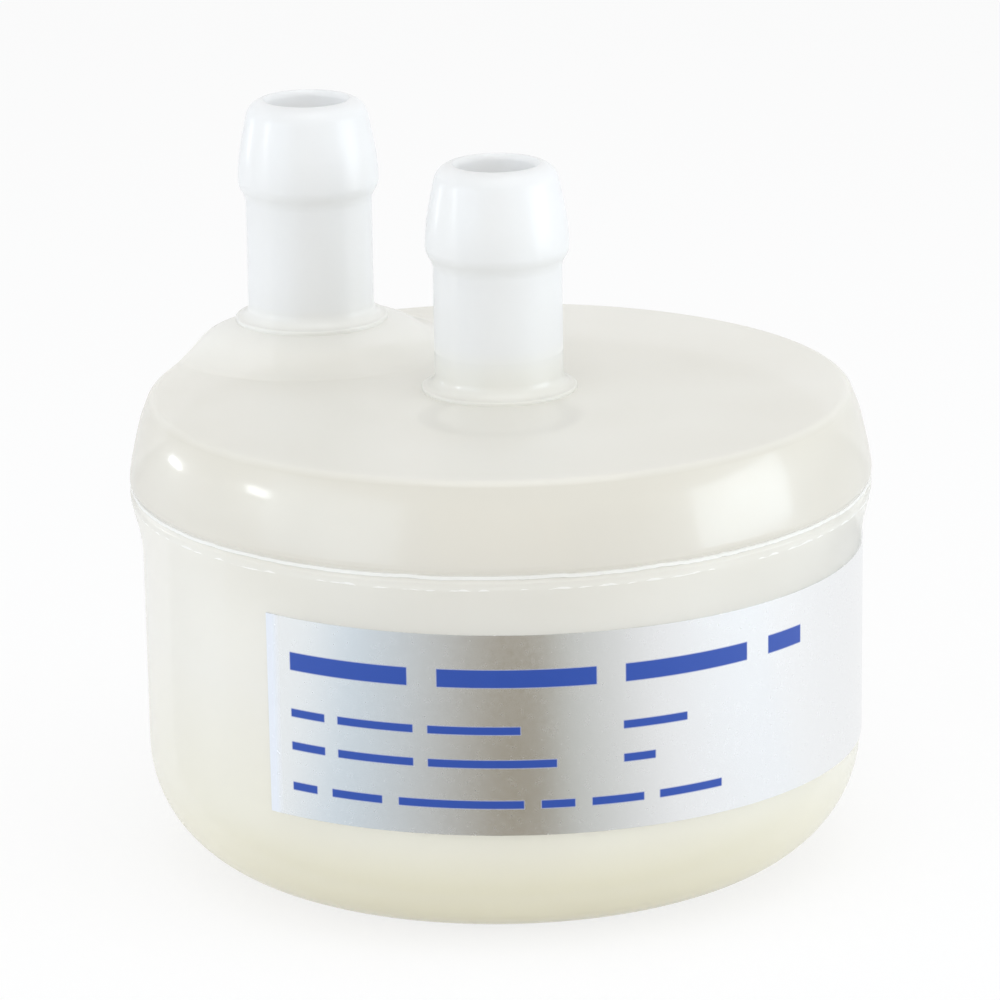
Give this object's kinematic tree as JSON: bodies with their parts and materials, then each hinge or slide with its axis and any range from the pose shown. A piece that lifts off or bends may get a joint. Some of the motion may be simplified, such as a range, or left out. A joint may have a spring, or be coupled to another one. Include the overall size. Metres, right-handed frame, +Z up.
{
  "type": "capsule filter",
  "caption": "Squat round welded capsule filter in milky plastic, with an outlet hose barb on its axis, an inlet barb on a boss near the rim and a label round the bowl.",
  "frame": {"origin": "centre of the flat base, on the capsule's axis", "axes": "+Z up along the capsule's axis and the outlet barb, -X towards the inlet barb"},
  "size_m": [0.06, 0.06, 0.0592],
  "materials": {
    "head_plastic": "milky translucent natural polypropylene, moulded, satin gloss",
    "bowl_plastic": "milky translucent natural polypropylene, moulded, satin gloss",
    "label_film": "metallised silver film with plain blue bars",
    "medium": "cream melt-blown fibre, matte",
    "inner_plastic": "white moulded polypropylene"
  },
  "bodies": {
    "root": {"head": "head_plastic", "bowl": "bowl_plastic", "label": "label_film", "filter_medium": "medium", "support_core": "inner_plastic", "upper_end_cap": "inner_plastic", "lower_end_cap": "inner_plastic"}
  },
  "joints": []
}
